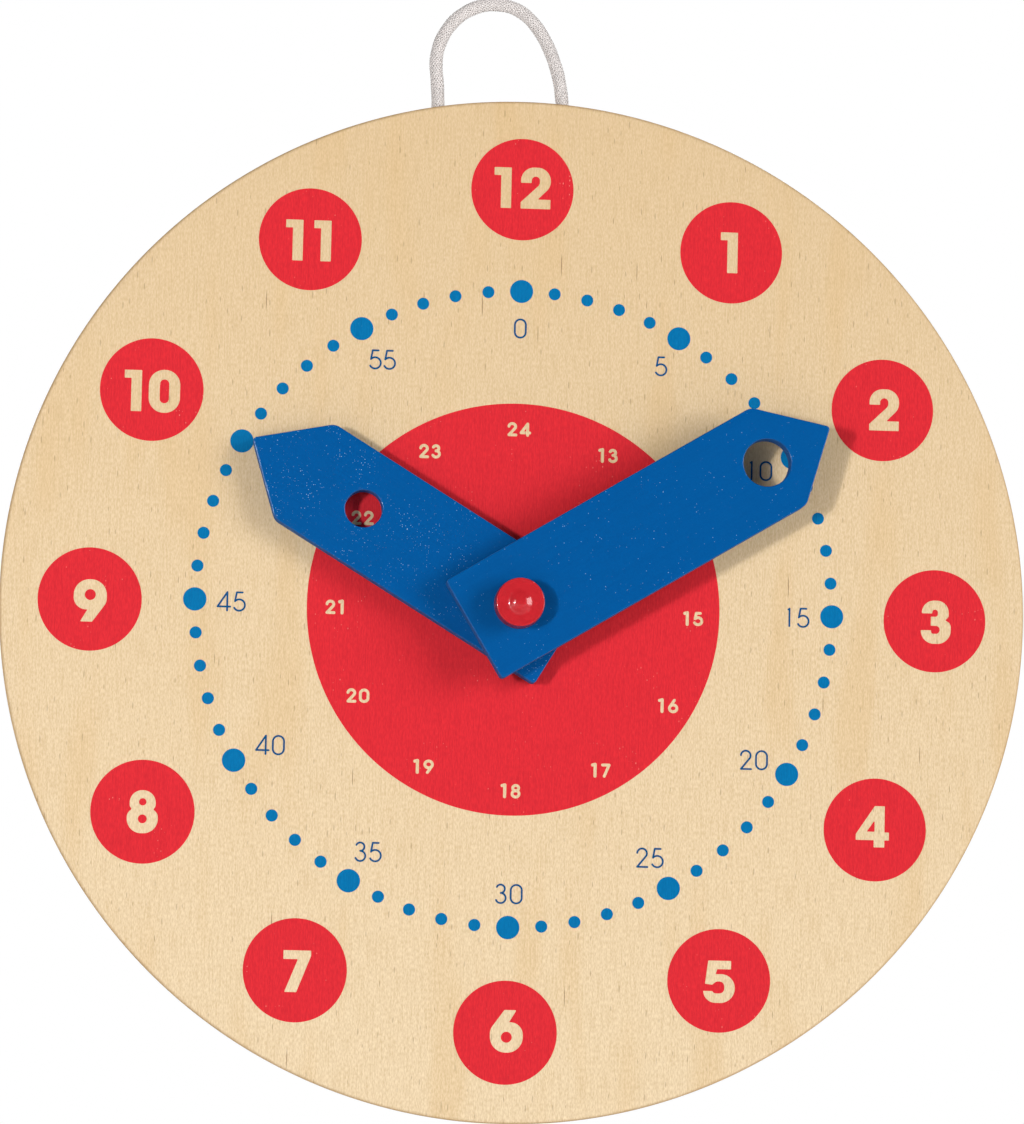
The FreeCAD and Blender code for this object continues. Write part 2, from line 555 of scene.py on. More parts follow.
class Paint(Graph):
    """A material in the making, with patterns in millimetres on Object coordinates.

    A pattern's cell gives its size across, along and through the thickness.
    """

    def __init__(self, name: str) -> None:
        """Start an empty material of that name."""
        self.material = bpy.data.materials.new(name)
        self.material.use_nodes = True
        super().__init__(self.material.node_tree)

    def coordinate(self, kind: str) -> Socket:
        """Return the surface's Object or Normal coordinates."""
        return self.add("ShaderNodeTexCoord").outputs[kind]

    def place(self, cell: Triple, angle: float = 0.0) -> Socket:
        """Measure a place in cells of a pattern.

        Args:
            cell: The pattern's cell.
            angle: Degrees that the pattern is turned clockwise from upright.

        Returns:
            The place, as (across, along, through).
        """
        turned = self.add("ShaderNodeMapping", {
            "Vector": self.coordinate("Object"),
            "Rotation": (math.pi / 2, math.radians(angle), 0),
            "Scale": tuple(size * MM for size in cell),
        }, vector_type="TEXTURE")
        return turned.outputs["Vector"]

    def streaks(
        self, cell: Triple, span: Point, angle: float = 0.0, detail: float = 1.0
    ) -> Socket:
        """Make stretched noise.

        Args:
            cell: Its cell.
            span: The noise levels that become 0 and 1.
            angle: Degrees that it is turned clockwise from upright.
            detail: The noise's detail.

        Returns:
            The noise, from 0 to 1.
        """
        noise = self.add("ShaderNodeTexNoise", {
            "Vector": self.place(cell, angle), "Scale": 1.0, "Detail": detail, "Roughness": 0.55,
        })
        return self.add(RANGE, {
            "Value": noise.outputs["Fac"], "From Min": span[0], "From Max": span[1],
        }, interpolation_type="SMOOTHSTEP").outputs["Result"]

    def specks(self, cell: Triple, size: float, share: float, reach: Reach) -> Socket:
        """Scatter specks.

        Args:
            cell: The space between specks.
            size: The largest speck's half width, as a share of the cell.
            share: The share of cells that hold one.
            reach: Whether the specks lie on the face alone or all through.

        Returns:
            A mask that is 1 in the middle of a speck.
        """
        cells = self.add(
            "ShaderNodeTexVoronoi", {"Vector": self.place(cell), "Scale": 1.0, "Randomness": 1.0},
            feature="F1", voronoi_dimensions=reach.value,
        )
        chosen = self.add("ShaderNodeSeparateColor", {0: cells.outputs["Color"]})
        edge = self.add(RANGE, {
            "Value": chosen, "From Min": 1 - share, "From Max": 1.0, "To Min": 0.0, "To Max": size,
        })
        heart = self.add(MATH, {0: edge, 1: 0.5}, operation="MULTIPLY")
        return self.add(RANGE, {
            "Value": cells.outputs["Distance"], "From Min": edge, "From Max": heart,
        }, interpolation_type="SMOOTHSTEP").outputs["Result"]

    def walls(self, face: float = 0.85, wall: float = 0.4) -> Socket:
        """Tell the faces from the walls between them.

        Args:
            face: How squarely a surface faces the reader where the mask starts to rise.
            wall: The same where it is full.

        Returns:
            A mask that is 0 on the faces and 1 on the walls.
        """
        facing = self.add("ShaderNodeSeparateXYZ", {0: self.coordinate("Normal")})
        flatness = self.add(MATH, {0: facing.outputs["Y"]}, operation="ABSOLUTE")
        mask = self.add(RANGE, {"Value": flatness, "From Min": face, "From Max": wall})
        return mask.outputs["Result"]

    def mixed(self, under: str | Socket, layers: Sequence[tuple[Any, float, str]]) -> Socket:
        """Lay colours over one another.

        Args:
            under: The colour at the bottom.
            layers: Each with its mask, its strength and its colour.

        Returns:
            The colour on top.
        """
        top = linear(under) if isinstance(under, str) else under
        for mask, strength, colour in layers:
            amount = self.add(MATH, {0: mask, 1: strength}, operation="MULTIPLY")
            lay = {0: amount, 6: top, 7: linear(colour)}
            top = self.add("ShaderNodeMix", lay, data_type="RGBA").outputs[2]
        return top

    def relief(self, layers: Sequence[tuple[Any, float]]) -> Socket:
        """Raise a surface by patterns.

        Args:
            layers: Height patterns from 0 to 1, each with its height in millimetres.

        Returns:
            The surface's normal.
        """
        sockets: dict[str, Any] = {}
        for height, depth in layers:
            sockets |= {"Height": height, "Distance": abs(depth) * MM, "Strength": 1.0}
            bump = self.add("ShaderNodeBump", sockets, invert=depth < 0)
            sockets["Normal"] = bump.outputs["Normal"]
        return sockets["Normal"]

    def surface(self, sockets: dict[str, Any]) -> Material:
        """End the material in a Principled shader.

        Args:
            sockets: The shader's inputs.

        Returns:
            The material.
        """
        shader = self.add("ShaderNodeBsdfPrincipled", sockets)
        self.add("ShaderNodeOutputMaterial", {"Surface": shader})
        return self.material


# --- Finishes


@dataclass(frozen=True)
class BirchPlywood:
    """Rotary-cut birch plywood under a clear matt varnish. Millimetres."""

    upper: str = "#E3C79F"
    lower: str = "#F3DDBA"
    band: str = "#DFBA83"
    fibre: str = "#CBA975"
    fleck: str = "#8F6236"
    cross_ply: str = "#B98C57"
    glue_line: str = "#6E4A28"
    # darker end-grain tone of the rim, which also paints shade on the rounded edges
    rim_tint: str = "#C69C68"
    thickness: float = 6.0
    ply: float = 1.2
    glue: float = 0.06
    drift: float = 110.0

    def material(self) -> Material:
        """Mix the finish.

        Returns:
            A pale face with upright fibres and flecks, and plies along the rim.
        """
        # To the eye: matt cream wood that grows paler towards the bottom, with faint warm
        # bands, a fine upright fibre, short brown pores and thin brown flecks, a darker rim
        # whose rounded edges carry painted shade, and brown lines where the plies come out at
        # the rim. The fibres are drawn 0.25 mm wide, ten times the real ones, which would be too
        # fine to show.
        paint = Paint("birch_plywood_matt_varnish")
        at = paint.add("ShaderNodeSeparateXYZ", {0: paint.coordinate("Object")})
        # paler towards the bottom of the dial
        down = paint.add(RANGE, {
            "Value": at.outputs["Z"], "From Min": self.drift * MM, "From Max": -self.drift * MM,
        })
        bands = paint.streaks((9, 60, 6), (0.5, 0.72))
        threads = paint.streaks((0.34, 7, 0.6), (0.42, 0.7))
        hairs = paint.streaks((0.25, 0.85, 0.4), (0.3, 0.7))
        pores = paint.specks((1.5, 9, 1), 0.11, 0.6, Reach.FACE)
        flecks = paint.specks((4.2, 95, 1), 0.032, 0.5, Reach.FACE)
        middle = paint.add(MATH, {0: at.outputs["Y"], 1: self.thickness / 2 * MM}, operation="ADD")
        from_middle = paint.add(MATH, {0: middle}, operation="ABSOLUTE")
        from_cross = paint.add(MATH, {0: from_middle, 1: self.ply * MM}, operation="SUBTRACT")
        in_cross = paint.add(MATH, {0: from_cross}, operation="ABSOLUTE")
        half, line = self.ply / 2 * MM, self.glue * MM
        cross = paint.add(RANGE, {
            "Value": in_cross, "From Min": half + line / 3, "From Max": half - line / 3,
        })
        to_line = paint.add(MATH, {0: in_cross, 1: half}, operation="SUBTRACT")
        off_line = paint.add(MATH, {0: to_line}, operation="ABSOLUTE")
        glue = paint.add(RANGE, {"Value": off_line, "From Min": line, "From Max": line / 3})
        colour = paint.mixed(self.upper, [
            (down, 1.0, self.lower),
            (bands, 0.3, self.band),
            (threads, 0.26, self.fibre),
            (hairs, 0.44, self.fibre),
            (pores, 0.42, self.fleck),
            (flecks, 0.7, self.fleck),
            # the rim and rounded edges: end-grain tone with painted shade
            (paint.walls(0.99, 0.6), 0.65, self.rim_tint),
            (cross, 0.75, self.cross_ply),
            (glue, 0.8, self.glue_line),
        ])
        return paint.surface({
            "Base Color": colour,
            "Roughness": 0.6,
            "Specular IOR Level": 0.25,
            "Normal": paint.relief([(threads, -0.01), (hairs, -0.008), (flecks, -0.04)]),
        })


@dataclass(frozen=True)
class ScreenInk:
    """Screen-printed ink on varnished birch."""

    name: str
    colour: str
    deep: str
    bare: str

    def material(self) -> Material:
        """Mix the finish.

        Returns:
            An even colour in which the wood's fibres still show.
        """
        # To the eye: flat opaque colour, a fine upright hatch where the fibres lift it, and
        # tiny pale pits where the ink didn't reach down into a vessel. The hatch is drawn
        # as coarse as the wood's own fibres.
        paint = Paint(self.name)
        threads = paint.streaks((0.34, 7, 0.6), (0.42, 0.7))
        hairs = paint.streaks((0.25, 1.2, 0.4), (0.3, 0.7))
        thin = paint.streaks((6, 9, 6), (0.5, 0.75))
        pits = paint.specks((0.7, 1.3, 1), 0.2, 0.22, Reach.FACE)
        open_pits = paint.add(MATH, {0: pits, 1: thin}, operation="MULTIPLY")
        return paint.surface({
            "Base Color": paint.mixed(self.colour, [
                (threads, 0.27, self.deep), (hairs, 0.42, self.deep), (open_pits, 0.45, self.bare),
            ]),
            "Roughness": 0.55,
            "Specular IOR Level": 0.06,
            "Normal": paint.relief([(threads, -0.01), (hairs, -0.008)]),
        })


@dataclass(frozen=True)
class SprayedLacquer:
    """Sprayed gloss lacquer on a wooden hand.

    The grain's angle is in degrees clockwise from upright; the share is that of the
    dust specks that show, each with a pale glint painted on it.
    """

    name: str
    grain_angle: float
    nibs: float
    colour: str = "#00579C"
    deep: str = "#004E8F"
    # pale blue painted on the dust nibs as their glints
    nib: str = "#8CC0EA"

    def material(self) -> Material:
        """Mix the finish.

        Returns:
            A deep even colour with orange peel and dust nibs that carry painted pale glints.
        """
        # To the eye: saturated blue with a clean gloss on its edges, a fine orange-peel
        # skin, the grain just felt along the hand, and dust nibs with pale blue glints painted
        # on them; the sawn walls took the lacquer dry and stay dull.
        paint = Paint(self.name)
        grain = paint.streaks((0.6, 14, 0.6), (0.4, 0.75), self.grain_angle)
        clouds = paint.streaks((7, 7, 7), (0.38, 0.62), self.grain_angle, detail=2)
        peel = paint.streaks((0.4, 0.4, 0.4), (0.3, 0.75))
        dust_and_glints = paint.specks((0.36, 0.36, 0.36), 0.36, self.nibs, Reach.THROUGH)
        # painted glints: pale blue on the dust specks, thinned out by the clouds
        painted_glints = paint.add(MATH, {0: dust_and_glints, 1: clouds}, operation="MULTIPLY")
        return paint.surface({
            "Base Color": paint.mixed(self.colour, [
                (grain, 0.2, self.deep), (peel, 0.3, self.deep), (painted_glints, 0.75, self.nib),
            ]),
            "Roughness": paint.add(RANGE, {"Value": paint.walls(), "To Min": 0.18, "To Max": 0.8}),
            "Specular IOR Level": 0.4,
            "Normal": paint.relief([(grain, -0.004), (peel, 0.005), (dust_and_glints, 0.015)]),
        })


@dataclass(frozen=True)
class DippedLacquer:
    """Dipped gloss lacquer on a turned beech peg. Millimetres."""

    colour: str = "#C7232C"
    deep: str = "#AC1520"
    # painted shade for the side wall
    shaded: str = "#7E0A1C"
    # pale pink painted on the nibs round the side as their glints
    nib: str = "#F08C98"
    ring: float = 0.45
    side_from: float = 4.6
    side_to: float = 5.1

    def material(self) -> Material:
        """Mix the finish.

        Returns:
            A thick glossy red with faint turning rings, painted shade down the side, and a few nibs
            with painted pale glints.
        """
        # To the eye: wet-looking red with bright broken highlights, turning rings just felt
        # under the lacquer, a darker tone where it pooled, painted shade down the side, and
        # pale glints painted on the nibs round the side.
        paint = Paint("red_dipped_lacquer_on_beech")
        flat = paint.add(
            VECTOR_MATH, {0: paint.coordinate("Object"), 1: (1, 0, 1)}, operation="MULTIPLY"
        )
        radius = paint.add(VECTOR_MATH, {0: flat}, operation="LENGTH").outputs["Value"]
        rate = 2 * math.pi / (self.ring * MM)
        phase = paint.add(MATH, {0: radius, 1: rate}, operation="MULTIPLY")
        rings = paint.add(MATH, {0: phase}, operation="SINE")
        pooled = paint.streaks((3.5, 3.5, 3.5), (0.45, 0.75))
        waves = paint.streaks((1.3, 1.3, 1.3), (0.2, 0.8))
        nibs = paint.specks((0.7, 0.7, 0.7), 0.26, 0.3, Reach.THROUGH)
        outer = paint.add(RANGE, {
            "Value": radius, "From Min": self.side_from * MM, "From Max": self.side_to * MM,
        })
        # painted glints on the nibs round the side
        painted_side_glints = paint.add(MATH, {0: nibs, 1: outer}, operation="MULTIPLY")
        # the walls get painted shade in the colour, and less coat
        wall = paint.walls()
        return paint.surface({
            "Base Color": paint.mixed(self.colour, [
                (pooled, 0.3, self.deep), (wall, 0.85, self.shaded), (painted_side_glints, 0.7, self.nib),
            ]),
            "Roughness": 0.35,
            "Specular IOR Level": 0.1,
            "Coat Weight": paint.add(RANGE, {"Value": wall, "To Min": 1.0, "To Max": 0.15}),
            "Coat Roughness": 0.05,
            "Normal": paint.relief([(rings, 0.0015), (waves, 0.09), (nibs, 0.012)]),
        })


@dataclass(frozen=True)
class VulcanisedFibre:
    """Vulcanised fibre washers, punched from sheet."""

    colour: str = "#B9AE9C"
    fleck: str = "#8F8371"

    def material(self) -> Material:
        """Mix the finish.

        Returns:
            A dull grey-buff with short paper fibres.
        """
        # To the eye: dull board-like grey with short darker fibres, a little waxy.
        paint = Paint("vulcanised_fibre")
        paper = paint.streaks((0.35, 1.1, 0.35), (0.45, 0.7), 35, detail=3)
        spots = paint.specks((0.7, 0.7, 0.7), 0.2, 0.3, Reach.THROUGH)
        return paint.surface({
            "Base Color": paint.mixed(
                self.colour, [(paper, 0.6, self.fleck), (spots, 0.5, self.fleck)]
            ),
            "Roughness": 0.65,
            "Specular IOR Level": 0.35,
            "Normal": paint.relief([(paper, 0.01)]),
        })


@dataclass(frozen=True)
class BraidedPolyester:
    """Braided polyester cord of fine yarns. Millimetres."""

    colour: str = "#E2DBD8"
    bright: str = "#F4EFEC"
    shade: str = "#C6BEBB"
    filament: float = 0.09

    def material(self) -> Material:
        """Mix the finish.

        Returns:
            Satin grey-white yarns, each a little different in tone.
        """
        # To the eye: soft satin grey-white; filaments show as hair-fine streaks that are
        # drawn coarser than the real 0.02 mm, which would be too fine to see.
        paint = Paint("braided_polyester_cord")
        tone = paint.add("ShaderNodeAttribute", attribute_name=YARN_TONE)
        cell = self.filament, self.filament * 9, self.filament
        silk = paint.streaks(cell, (0.35, 0.7), 12, detail=3)
        return paint.surface({
            "Base Color": paint.mixed(self.colour, [
                (tone.outputs["Fac"], 0.55, self.bright), (silk, 0.4, self.shade),
            ]),
            "Roughness": 0.6,
            "Specular IOR Level": 0.35,
            "Sheen Weight": 0.25,
            "Sheen Roughness": 0.4,
            "Normal": paint.relief([(silk, 0.02)]),
        })


# --- Cord


@dataclass
class CordLoop:
    """The hanging loop, glued into two blind holes in the dial's rim. Millimetres."""

    diameter: float = 3.0
    depth: float = 3.0
    top: float = 110.0
    left: float = -18.8
    right: float = 8.3
    hole_depth: float = 6.0
    turning_points: tuple[Point, ...] = (
        (-20.0, 10.6), (-16.0, 18.3), (-9.0, 22.0), (-1.1, 20.9), (4.7, 13.8),
    )
    left_rise: float = 1.5
    right_rise: float = 2.6
    length: float = 71.5
    yarns_each_way: int = 12
    yarn: float = 0.42
    yarn_sides: int = 6
    weave: float = 0.1
    pitch: float = 11.0
    core: float = 2.2
    core_sides: int = 14
    step: float = 0.42

    def rim(self, x: float) -> float:
        """Return the height above the pivot where the rim is at x."""
        return math.sqrt(self.top ** 2 - x ** 2)

    def route(self) -> list[Vector]:
        """Place the cord's turning points.

        Returns:
            The points in metres, from one hole's floor to the other's.
        """
        places = [(self.left, self.rim(self.left) - self.hole_depth)]
        places.append((self.left, self.top + self.left_rise))
        places += [(x, self.top + rise) for x, rise in self.turning_points]
        places.append((self.right, self.top + self.right_rise))
        places.append((self.right, self.rim(self.right) - self.hole_depth))
        return [Vector((x, -self.depth, z)) * MM for x, z in places]

    def centreline(self) -> Mesh:
        """Draw the smooth line through the route.

        Returns:
            The line, as points joined by edges.
        """
        curve = bpy.data.curves.new("cord_route", "CURVE")
        curve.dimensions = "3D"
        spline = curve.splines.new("NURBS")
        route = self.route()
        spline.points.add(len(route) - 1)
        for point, place in zip(spline.points, route):
            point.co = (*place, 1)
        spline.order_u = 3
        spline.use_endpoint_u = True
        curve.resolution_u = 24
        return plain(shown("cord_route", curve))

    def braid(self, line: Mesh, finish: Material) -> Mesh:
        """Lay yarns round a line, both ways, over and under one another.

        Args:
            line: The cord's smooth line.
            finish: The yarns' finish.

        Returns:
            The braid round its core.
        """
        braid = Growth("cord_braiding", {
            "Step": self.step * MM,
            "Yarn": self.yarn * MM,
            "Lay Radius": (self.diameter / 2 - self.yarn / 2 - self.weave) * MM,
            "Weave": self.weave * MM,
            "Pitch": self.pitch * MM,
            "Core": self.core * MM,
            "Yarns Each Way": self.yarns_each_way,
        }, finish)
        given, add = braid.given, braid.add
        start = add("GeometryNodeMeshToCurve", {"Mesh": given["Geometry"]})
        even = add(
            "GeometryNodeResampleCurve", {"Curve": start, "Length": given["Step"]}, mode="LENGTH"
        )
        along = add("GeometryNodeSplineParameter").outputs["Length"]
        normal = add("GeometryNodeInputNormal").outputs["Normal"]
        tangent = add("GeometryNodeInputTangent").outputs["Tangent"]
        side = add(VECTOR_MATH, {0: tangent, 1: normal}, operation="CROSS_PRODUCT")
        full_turn = add(MATH, {0: 2 * math.pi, 1: given["Pitch"]}, operation="DIVIDE")
        turn = add(MATH, {0: along, 1: full_turn}, operation="MULTIPLY")
        crossings = add(MATH, {0: turn, 1: given["Yarns Each Way"]}, operation="MULTIPLY")
        over_under = add(MATH, {0: crossings}, operation="COSINE")
        lift = add(MATH, {0: over_under, 1: given["Weave"]}, operation="MULTIPLY")
        apart = add(MATH, {0: 2 * math.pi, 1: given["Yarns Each Way"]}, operation="DIVIDE")
        yarn_radius = add(MATH, {0: given["Yarn"], 1: 0.5}, operation="MULTIPLY")
        section = add("GeometryNodeCurvePrimitiveCircle", {
            "Resolution": self.yarn_sides, "Radius": yarn_radius,
        })
        parts = []
        for way in (1, -1):
            copies = add(
                "GeometryNodeDuplicateElements",
                {"Geometry": even, "Amount": given["Yarns Each Way"]}, domain="SPLINE",
            )
            number = copies.outputs["Duplicate Index"]
            offset = add(MATH, {0: number, 1: apart}, operation="MULTIPLY")
            angle = add(MATH, {0: turn, 1: float(way), 2: offset}, operation="MULTIPLY_ADD")
            reach = add(
                MATH, {0: lift, 1: float(way), 2: given["Lay Radius"]}, operation="MULTIPLY_ADD"
            )
            out = add(MATH, {0: angle}, operation="COSINE")
            over = add(MATH, {0: angle}, operation="SINE")
            outward = add(VECTOR_MATH, {0: normal, "Scale": out}, operation="SCALE")
            spoke = add(VECTOR_MATH, {0: side, 1: over, 2: outward}, operation="MULTIPLY_ADD")
            place = add(VECTOR_MATH, {0: spoke, "Scale": reach}, operation="SCALE")
            tone = add(
                "FunctionNodeRandomValue", {"ID": number, "Seed": 5 + way}, data_type="FLOAT"
            )
            toned = add(
                "GeometryNodeStoreNamedAttribute",
                {"Geometry": copies, "Name": YARN_TONE, "Value": tone.outputs[1]},
                data_type="FLOAT", domain="POINT",
            )
            laid = add("GeometryNodeSetPosition", {"Geometry": toned, "Offset": place})
            parts.append(add(
                "GeometryNodeCurveToMesh",
                {"Curve": laid, "Profile Curve": section, "Fill Caps": True},
            ))
        core_radius = add(MATH, {0: given["Core"], 1: 0.5}, operation="MULTIPLY")
        heart = add("GeometryNodeCurvePrimitiveCircle", {
            "Resolution": self.core_sides, "Radius": core_radius,
        })
        parts.append(add(
            "GeometryNodeCurveToMesh", {"Curve": even, "Profile Curve": heart, "Fill Caps": True}
        ))
        joined = add("GeometryNodeJoinGeometry", {0: parts})
        return braid.grow(add("GeometryNodeSetShadeSmooth", {0: joined}), line)

    def build(self, finish: BraidedPolyester) -> None:
        """Args:
            finish: The yarns' finish.
        """
        material = finish.material()
        line = self.centreline()
        path = [vertex.co.copy() for vertex in line.vertices]
        mesh = self.braid(line, material)
        loop = finished("cord_loop_braid", mesh, material, "dial", ["hanging_cord"])
        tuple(path[0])


# --- Dial


@dataclass
class Dial:
    """The plywood disc. Millimetres."""

    diameter: float = 220.0
    thickness: float = 6.0
    edge_round: float = 0.8
    peg_hole: float = 6.1
    cord_hole: float = 3.3
    cord_hole_depth: float = 6.0
    cord_holes_at: Point = (-18.8, 8.3)
    sides: int = 360
    drill_length: float = 20.0
    drill_sides: int = 40

    def build(self, finish: BirchPlywood) -> None:
        """Turn the disc, drill its holes and dress it.

        Args:
            finish: The wood's finish.
        """
        rims = [
            (circle(0, 0, self.diameter, self.sides), self.edge_round),
            (circle(0, 0, self.peg_hole, BORE_SIDES), BORE_EDGE),
        ]
        disc = shown("dial_blank", rounded_slab(rims, 0, self.thickness).mesh("dial_blank"))
        drills = [self.drill(x) for x in self.cord_holes_at]
        for drill in drills:
            cut = disc.modifiers.new("cord_hole", "BOOLEAN")
            cut.operation = "DIFFERENCE"
            cut.solver = "EXACT"
            cut.object = drill
        mesh = plain(disc)
        for drill in drills:
            bpy.data.objects.remove(drill)
        finished("dial_board", mesh, finish.material(), "dial", ["dial_disc"])

    def drill(self, x: float) -> Object:
        """Make the round cutter for a blind cord hole.

        Args:
            x: Where the hole stands across the dial.

        Returns:
            The cutter, in place.
        """
        floor = math.sqrt((self.diameter / 2) ** 2 - x ** 2) - self.cord_hole_depth
        radius, length = self.cord_hole / 2, self.drill_length
        bit = revolved([(0, 0), (radius, 0), (radius, length), (0, length)], self.drill_sides)
        mesh = bit.mesh("cord_drill")
        upright = Matrix.Rotation(math.radians(-90), 4, "X")
        mesh.transform(Matrix.Translation(Vector((x, -self.thickness / 2, floor)) * MM) @ upright)
        return shown("cord_drill", mesh)


# --- Numerals

# Corners of the heavy figures as (x, z, radius), and pen strokes of the light ones.
BOLD_CORNERS: dict[str, list[list[Triple]]] = {
    "0": [
        [(0, -.2, 3.3), (6.8, -.2, 3.3), (6.8, 9.2, 3.3), (0, 9.2, 3.3)],
        [(2.4, 1.9, 1), (4.4, 1.9, 1), (4.4, 7.1, 1), (2.4, 7.1, 1)],
    ],
    "1": [[
        (0, 9, .15), (0, 7.25, .15), (1.5, 7.25, .1), (1.5, 0, .15), (3.78, 0, .15),
        (3.78, 9, .15),
    ]],
    "2": [[
        (0, 0, .15), (6.55, 0, .15), (6.55, 2.1, .15), (3.75, 2.1, .1), (6.55, 4.9, 3),
        (6.55, 9.15, 2.9), (0, 9.15, 2.9), (0, 5.7, .15), (2.35, 5.7, .15), (2.35, 7.15, .9),
        (4.15, 7.15, .9), (4.15, 5.4, 1.2), (0, 1.4, .15),
    ]],
    "3": [[
        (0, 2.75, .15), (.1, -.2, 3), (6.65, -.2, 3), (6.65, 4.5, 1.9), (5.2, 5.0, .3),
        (6.15, 5.6, 1.3),
        (6.15, 9.3, 2.6), (.2, 9.3, 2.9), (.2, 6.45, .15), (2.5, 6.45, .15), (2.5, 7.3, .6),
        (3.75, 7.3, .6),
        (3.75, 5.75, .6), (2.2, 5.75, .15), (2.2, 3.75, .15), (4.2, 3.75, .9), (4.2, 2.0, .9),
        (2.3, 2.0, .5), (2.3, 2.75, .15),
    ]],
    "4": [
        [
            (0, 1.55, .15), (0, 2.85, .3), (4.1, 9, .15), (6.3, 9, .15), (6.3, 3.3, .1),
            (7.3, 3.3, .15),
            (7.3, 1.55, .15), (6.3, 1.55, .1), (6.3, 0, .15), (3.95, 0, .15), (3.95, 1.55, .1),
        ],
        [(2.4, 3.4, .12), (4.1, 3.4, .12), (4.1, 5.9, .12)],
    ],
    "5": [[
        (0, 2.4, .15), (.25, -.15, 3), (6.9, -.15, 3.2), (6.9, 6.2, 3), (2.65, 6.05, .15),
        (3, 7.15, .15),
        (6, 7.15, .15), (6, 9, .15), (1, 9, .15), (.35, 3.95, .15), (1.9, 3.75, .2), (2.9, 4.5, .8),
        (4.6, 4.5, 1.1), (4.6, 1.9, 1.1), (2.4, 1.9, .8), (1.95, 2.4, .2),
    ]],
    "6": [
        [
            (3.05, 9.05, .15), (5.65, 9.05, .15), (4.1, 6.4, .1), (7.15, 6.6, 3.1),
            (7.15, -.15, 3.4),
            (0, -.15, 3.4), (0, 4.8, 2.6),
        ],
        [(2.4, 2.0, 1.18), (4.75, 2.0, 1.18), (4.75, 4.35, 1.18), (2.4, 4.35, 1.18)],
    ],
    "7": [[
        (0, 7.1, .15), (3.15, 7.1, .15), (.35, 0, .15), (2.95, 0, .15), (6, 7.9, .5), (6, 9, .15),
        (0, 9, .15),
    ]],
    "8": [
        [
            (0, -.15, 3.1), (6.7, -.15, 3.1), (6.7, 4.3, 1.9), (5.6, 5, .3), (6.15, 5.6, 1.4),
            (6.15, 9.15, 2.7),
            (.55, 9.15, 2.7), (.55, 5.6, 1.4), (1.1, 5, .3), (0, 4.3, 1.9),
        ],
        [(2.55, 5.85, .8), (4.15, 5.85, .8), (4.15, 7.4, .8), (2.55, 7.4, .8)],
        [(2.4, 2.0, .95), (4.3, 2.0, .95), (4.3, 3.9, .95), (2.4, 3.9, .95)],
    ],
}
BOLD_CORNERS["9"] = [
    [(7.15 - x, 9 - z, radius) for x, z, radius in corners] for corners in BOLD_CORNERS["6"]
]

ROUND_STROKES: dict[str, list[Outline]] = {
    "0": [
        arc(1.22, 1.22, 1.22, 270, 180) + arc(1.22, 2.83, 1.22, 180, 90),
        arc(1.22, 2.83, 1.22, 90, 0) + arc(1.22, 1.22, 1.22, 0, -90),
    ],
    "1": [[(0, 3.8), (.26, 4)], [(.26, 4), (.26, .1)]],
    "2": [arc(1.08, 2.98, 1.07, 175, -38) + [(.05, 0)], [(.05, 0), (2.3, 0)]],
    "3": [arc(1.08, 3.13, .92, 155, -85), arc(1.12, 1.11, 1.11, 90, -155)],
    "4": [[(2.1, 4.05), (2.1, 0)], [(2.1, 4.05), (0, .85)], [(0, .85), (2.75, .85)]],
    "5": [[(1.9, 4.05), (.62, 4.05)], [(.62, 4.05), (.28, 2.15)], arc(1.2, 1.25, 1.25, 138, -150)],
    "6": [arc(1.2, 1.2, 1.2, 148, -32), arc(1.2, 1.2, 1.2, -32, -212), [(.18, 1.83), (1.55, 4.05)]],
    "7": [[(0, 4), (2.1, 4)], [(2.1, 4), (.6, 0)]],
    "8": [
        arc(1.15, 3.1, .95, 90, -90), arc(1.15, 3.1, .95, 270, 90),
        arc(1.15, 1.08, 1.12, 90, -90), arc(1.15, 1.08, 1.12, 270, 90),
    ],
}
ROUND_STROKES["9"] = [[(2.4 - x, 4.05 - z) for x, z in stroke] for stroke in ROUND_STROKES["6"]]
FLAGGED_ONE: list[Outline] = [[(0, 3.9), (.85, 4.15)], [(.85, 4.15), (.85, 0)]]

# How far each print stands off its even place, as a hand-laid film leaves it. Millimetres.
ROUNDELS_OFF: dict[int, Point] = {
    1: (-.2, 0), 2: (.1, -.1), 3: (0, -.2), 4: (-.1, -.2), 5: (0, -.1), 6: (-.2, 0),
    7: (.1, .1), 8: (.1, -.2), 9: (-.2, -.5), 10: (-.4, -.5), 11: (-.5, -.1), 12: (-.4, .1),
}
HOURS_OFF: dict[int, Point] = {
    1: (-.45, 0), 2: (.4, .1), 3: (.3, -.2), 4: (-.5, .7), 5: (.1, -.2), 6: (.3, .3),
    7: (.45, -.2), 8: (0, 0), 9: (.1, -.3), 10: (.1, -.3), 11: (-.4, -.25), 12: (0, .4),
}
AFTERNOONS_OFF: dict[int, Point] = {
    13: (-.1, .5), 14: (0, 0), 15: (-.4, -.6), 16: (-.25, -.1), 17: (-.3, -.15), 18: (-.15, .15),
    19: (.5, -.3), 20: (.35, .3), 21: (.1, -.2), 22: (.45, -.3), 23: (.35, .3), 24: (.05, .4),
}
MINUTES_OFF: dict[int, Point] = {
    0: (-.2, 0), 5: (.05, .9), 10: (-.15, 1.1), 15: (.4, -.05), 20: (-.55, -.6), 25: (-.3, .1),
    30: (0, -.2), 35: (.15, -.1), 40: (.9, -.05), 45: (0, .05), 50: (0, 0), 55: (.7, .45),
}


def spread(outlines: Sequence[Outline]) -> tuple[float, float, float, float]:
    """Measure how far outlines reach.

    Args:
        outlines: The outlines.

    Returns:
        The left, the right, the lowest and the highest.
    """
    across = [x for outline in outlines for x, _ in outline]
    up = [z for outline in outlines for _, z in outline]
    return min(across), max(across), min(up), max(up)


